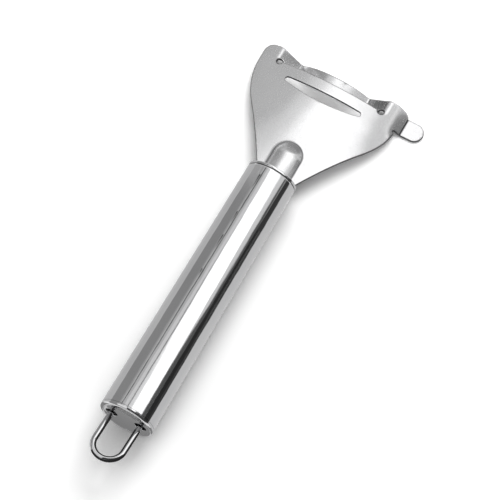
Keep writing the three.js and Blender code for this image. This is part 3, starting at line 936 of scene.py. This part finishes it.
# Flat cards: name, strength, the axis that they lie across, their place along it, and their corners
SHEETS = (
    ("rear_end", 0.75, "x", REAR_END, ((-400, -9), (400, -9), (400, 400), (-400, 400))),
    ("front_end", 0.3, "x", FRONT_END, ((-400, -9), (400, -9), (400, 290), (-400, 290))),
    ("front_top", 0.6, "x", FRONT_END, ((-400, 290), (400, 290), (400, 400), (-400, 400))),
    ("right_table", 0.72, "z", ON_TABLE, ((-104, -12), (12, -12), (45, -92), (-104, -92))),
    ("right_flag", 0.05, "z", ON_TABLE, ((-104, -92), (160, -92), (160, -400), (-104, -400))),
    ("left_table", 0.63, "z", ON_TABLE, ((-104, 12), (12, 12), (170, 400), (-104, 400))),
    ("loop_table", 0.3, "z", ON_TABLE, ((-124, -9), (-107, -9), (-107, 9), (-124, 9))),
    ("cap_right", 0.3, "z", ON_TABLE, ((-125, -11), (-104, -11), (-104, -30), (-125, -30))),
    ("cap_left", 0.3, "z", ON_TABLE, ((-125, 11), (-104, 11), (-104, 30), (-125, 30))),
    ("head_white", 1.8, "z", OVER_HEAD, ((23, -5), (62, -5), (62, 14), (52, 15), (40, 18), (31, 22),
                                         (26, 27))),
    ("head_soft", 0.95, "z", OVER_HEAD, ((26, 27), (31, 22), (40, 18), (52, 15), (62, 14), (100, 4),
                                         (100, 26), (62, 35), (52, 34), (40, 38), (34, 52))),
    ("head_left", 0.64, "z", OVER_HEAD, ((34, 52), (40, 38), (52, 34), (62, 35), (100, 26), (120, 140),
                                         (60, 140))),
    ("head_right", 0.8, "z", OVER_HEAD, ((29, -45), (66, -45), (95, -220), (93, -220), (62, -140))),
    ("ear_step", 0.82, "z", 30, ((46, -46), (72, -46), (72, -33), (46, -33))),
    ("facet_flag", 0.15, "y", -6, ((49.3, -5), (57, -5), (57, 4.5), (49.3, 4.5))),
    ("facet_left", 0.42, "y", 11, ((48, -6), (56, -6), (56, 10), (48, 10))),
    ("ear_flag", 0.28, "y", -46, ((46, -8), (56, -8), (56, 12), (46, 12))),
    ("mouth_low", 0.05, "y", BESIDE_MOUTH, ((-20, 5.3), (3.1, 5.3), (3.6, 9), (-20, 10))),
    ("mouth_line", 0.3, "y", BESIDE_MOUTH, ((-20, 10), (3.6, 9), (3.9, 10.8))),
    ("mouth_upper", 0.12, "y", BESIDE_MOUTH, ((-20, 10), (3.9, 10.8), (4.1, 12.4), (-20, 12))),
)
# Cards along the loop's wire: name, side, how far to the left they reach, and their lower and upper edges.
# They leave a gap to the wire and start past its feet.
STRIPS = (("loop_inside", 1, 20, (-0.3, 2)), ("loop_outside", -1, 4, (-0.6, 1.4)))
STRIP_STRENGTH = 0.03
STRIP_GAP = 0.3
STRIP_FROM = -3.6
# Small cards that the handle mirrors as dashes: where the dashes start and end on it, and for the cards
# their place and lean across, and how far ahead of the dashes they hang
DASHES = ((-11.8, -4.8), (-26.6, -21.4), (-38.4, -31.8), (-50, -47))
DASH_STRENGTH = 0.03
DASH_SPOT = (5.55, 12.95)
DASH_LEAN = (0.3, -0.27)
DASH_AHEAD = 1.7
# Floor, world and lamp, with the lamp's place in the shared frame
FLOOR_HALF = 20000
FLOOR_COLOUR = (0.86, 0.86, 0.86)
FLOOR_ROUGHNESS = 0.9
FLOOR_SPECULAR = 0.1
FLOOR_LIFT = 0.45
SHELTER_REACH = 60
SHELTER_SAMPLES = 16
SHADOW_DEPTH = 1.3
AMBIENT = 0.35
BEFORE_BOUNCE = 0.5
LAMP_SPOT = (340, 15, 420)
LAMP_SIZE = 360
LAMP_WATTS = 2.5


def first_hand(nodes, links, path):
    """1 until a ray has left a matt surface, so that metal throws no image of the cards on the floor."""
    return calculate(nodes, links, "LESS_THAN", path.outputs["Diffuse Depth"], BEFORE_BOUNCE)


def seen_rays(nodes, links, path):
    """1 for camera, glossy and transmission rays, and 0 for the rays that only carry light."""
    seen = path.outputs["Is Camera Ray"]
    for name in ("Is Glossy Ray", "Is Transmission Ray"):
        seen = calculate(nodes, links, "MAXIMUM", seen, path.outputs[name])
    return calculate(nodes, links, "MULTIPLY", seen, first_hand(nodes, links, path))


def emitter(name, strength):
    material = bpy.data.materials.new(name)
    material.use_nodes = True
    nodes, links = material.node_tree.nodes, material.node_tree.links
    nodes.clear()
    path = nodes.new("ShaderNodeLightPath")
    glow = nodes.new("ShaderNodeEmission")
    glow.inputs["Color"].default_value = (1, 1, 1, 1)
    level = calculate(nodes, links, "MULTIPLY", first_hand(nodes, links, path), strength)
    links.new(level, glow.inputs["Strength"])
    output = nodes.new("ShaderNodeOutputMaterial")
    links.new(glow.outputs["Emission"], output.inputs["Surface"])
    return material


def only_mirrored(obj):
    """Keeps a card out of everything but reflections."""
    obj.visible_camera = False
    obj.visible_diffuse = False
    obj.visible_transmission = False
    obj.visible_volume_scatter = False
    obj.visible_shadow = False


def hang_card(name, strength, verts, faces):
    obj = new_object(f"card_{name}", verts, faces)
    obj.data.materials.append(emitter(f"card_{name}", strength))
    only_mirrored(obj)


def card(name, strength, stations):
    """A card bent round the handle's axis."""
    verts, faces = [], []
    for x, start, end in stations:
        for turn in np.radians(np.linspace(start, end, CARD_STEPS + 1)):
            verts.append((x, -CARD_RADIUS * math.sin(turn), CARD_RADIUS * math.cos(turn)))
    row = CARD_STEPS + 1
    for i in range(len(stations) - 1):
        for j in range(CARD_STEPS):
            a = i * row + j
            faces.append((a, a + 1, a + row + 1, a + row))
    hang_card(name, strength, verts, faces)


def sheet(name, strength, axis, at, corners):
    """A flat card across an axis."""
    spot = "xyz".index(axis)
    verts = [(*corner[:spot], at, *corner[spot:]) for corner in corners]
    hang_card(name, strength, verts, [tuple(range(len(verts)))])


def strip(name, side, left_end, levels):
    """A card that follows the wire on its inside (1) or outside (-1), which mirrors it as a dark line."""
    path = wire_path()
    line = path + side * wire_inward(path) * (WIRE_RADIUS + STRIP_GAP)
    line = line[(path[:, 0] < STRIP_FROM) & (path[:, 1] < left_end)]
    verts = [(x, y, z) for x, y in line for z in levels]
    faces = [(i, i + 2, i + 3, i + 1) for i in range(0, len(verts) - 2, 2)]
    hang_card(name, STRIP_STRENGTH, lifted(np.array(verts)), faces)


def dash(name, start, end):
    """A small card beside the handle, pointed at its rear end."""
    (y, z), (lean_y, lean_z) = DASH_SPOT, DASH_LEAN
    rear, front = start + DASH_AHEAD, end + DASH_AHEAD
    verts = ((rear, y, z), (front, y - lean_y, z - lean_z), (front, y + lean_y, z + lean_z))
    hang_card(name, DASH_STRENGTH, verts, [(0, 1, 2)])


def floor():
    """A matt floor at the shared z = 0, lifted to white where it is seen, but less under shelter."""
    half = FLOOR_HALF
    low = -ORIGIN.z / MM
    verts = [(-half, -half, low), (half, -half, low), (half, half, low), (-half, half, low)]
    obj = new_object("floor", verts, [(0, 1, 2, 3)])
    material, nodes, links, shader = new_material("floor")
    shader.inputs["Base Color"].default_value = (*FLOOR_COLOUR, 1)
    shader.inputs["Roughness"].default_value = FLOOR_ROUGHNESS
    shader.inputs["Specular IOR Level"].default_value = FLOOR_SPECULAR
    shelter = nodes.new("ShaderNodeAmbientOcclusion")
    shelter.samples = SHELTER_SAMPLES
    shelter.inputs["Distance"].default_value = SHELTER_REACH * MM
    path = nodes.new("ShaderNodeLightPath")
    openness = calculate(nodes, links, "POWER", shelter.outputs["AO"], SHADOW_DEPTH)
    lift = calculate(nodes, links, "MULTIPLY", seen_rays(nodes, links, path), FLOOR_LIFT)
    shader.inputs["Emission Color"].default_value = (1, 1, 1, 1)
    links.new(calculate(nodes, links, "MULTIPLY", lift, openness), shader.inputs["Emission Strength"])
    obj.data.materials.append(material)


def world():
    """White for the camera and in reflections, and dim light for all other rays."""
    made = bpy.data.worlds.new("studio")
    bpy.context.scene.world = made
    made.use_nodes = True
    nodes, links = made.node_tree.nodes, made.node_tree.links
    sky = nodes["Background"]
    sky.inputs["Color"].default_value = (1, 1, 1, 1)
    path = nodes.new("ShaderNodeLightPath")
    seen = seen_rays(nodes, links, path)
    second_hand = calculate(nodes, links, "GREATER_THAN", path.outputs["Diffuse Depth"], BEFORE_BOUNCE)
    thrown = calculate(nodes, links, "MULTIPLY", path.outputs["Is Glossy Ray"], second_hand)
    kept = calculate(nodes, links, "MULTIPLY_ADD", thrown, -AMBIENT, AMBIENT)
    links.new(calculate(nodes, links, "MAXIMUM", kept, seen), sky.inputs["Strength"])


def lamp(name, spot, size, watts):
    """A square area lamp aimed at the middle of the tool, kept out of reflections."""
    data = bpy.data.lights.new(name, "AREA")
    data.size = size * MM
    data.energy = watts
    obj = bpy.data.objects.new(name, data)
    bpy.context.scene.collection.objects.link(obj)
    obj.location = Vector(spot) * MM
    obj.rotation_euler = (-obj.location).to_track_quat("-Z", "Y").to_euler()
    obj.visible_glossy = False
    obj.visible_camera = False


def camera():
    turn, rise = math.radians(CAMERA_TURN), math.radians(CAMERA_ELEVATION)
    right = Vector((math.cos(turn), -math.sin(turn), 0))
    up = Vector((math.sin(turn) * math.sin(rise), math.cos(turn) * math.sin(rise), math.cos(rise)))
    back = right.cross(up)
    across = (IMAGE_SIZE / 2 - MOUTH_PIXEL[0]) / PIXELS_PER_MM
    down = (IMAGE_SIZE / 2 - MOUTH_PIXEL[1]) / PIXELS_PER_MM
    data = bpy.data.cameras.new("camera")
    data.sensor_width = SENSOR
    data.lens = PIXELS_PER_MM * CAMERA_DISTANCE / IMAGE_SIZE * SENSOR
    data.clip_end = CLIP_END
    obj = bpy.data.objects.new("camera", data)
    bpy.context.scene.collection.objects.link(obj)
    turned_to = Matrix((right, up, back)).transposed().to_4x4()
    spot = ORIGIN + (back * CAMERA_DISTANCE + right * across - up * down) * MM
    obj.matrix_world = Matrix.Translation(spot) @ turned_to
    bpy.context.scene.camera = obj


def build():
    polished, satin, wire, plastic = polished_steel(), satin_steel(), bright_wire(), plug_plastic()
    stamped_head(satin)
    polished_handle(polished)
    rear_cap(polished)
    wire_loop(wire)
    inner = {"mouth_plug": plastic, "tang_pin_1": satin, "tang_pin_2": satin, "loop_keeper": satin}
    for node, material in inner.items():
        mesh = frame["nodes"][node].data
        mesh.materials.clear()
        mesh.materials.append(material)


def light():
    bpy.context.scene.view_settings.view_transform = "Standard"
    world()
    floor()
    for values in CARDS:
        card(*values)
    for values in SHEETS:
        sheet(*values)
    for values in STRIPS:
        strip(*values)
    for number, ends in enumerate(DASHES):
        dash(f"dash_{number}", *ends)
    lamp("overhead", LAMP_SPOT, LAMP_SIZE, LAMP_WATTS)


build()
light()
camera()
